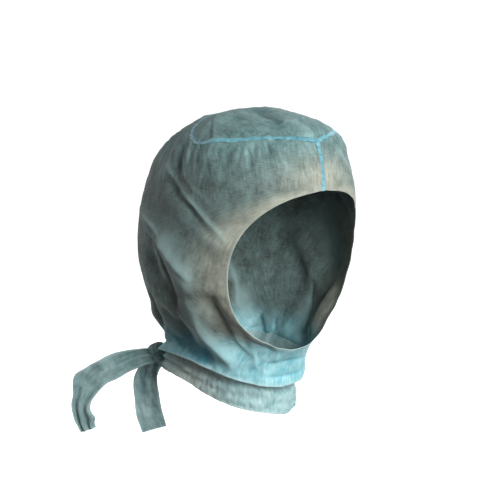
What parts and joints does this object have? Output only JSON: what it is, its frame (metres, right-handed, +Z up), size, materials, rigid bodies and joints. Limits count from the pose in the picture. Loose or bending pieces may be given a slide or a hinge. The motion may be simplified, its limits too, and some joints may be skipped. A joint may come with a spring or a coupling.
{
  "type": "hooded hairnet",
  "caption": "Disposable nonwoven hood with a seamed crown patch, an open face, a lower neck band and strap ends knotted behind the nape.",
  "frame": {"origin": "the inside of the crown at its highest point, where the worn hood is held up", "axes": "+Z up when worn, the face opening looks along -Y, and the hood's right side is at -X"},
  "size_m": [0.2096, 0.2701, 0.3035],
  "materials": {
    "nonwoven": "thin matt spunbond cloth, pale turquoise, slightly see-through",
    "welded_seam": "pressed welded cloth, brighter turquoise, satin"
  },
  "bodies": {
    "root": {"crown_panel": "nonwoven", "right_side_panel": "nonwoven", "left_side_panel": "nonwoven", "crown_seam": "welded_seam", "front_seam": "welded_seam", "neck_band": "nonwoven", "tie_knot": "nonwoven", "tie_long": "nonwoven", "tie_short": "nonwoven"}
  },
  "joints": []
}
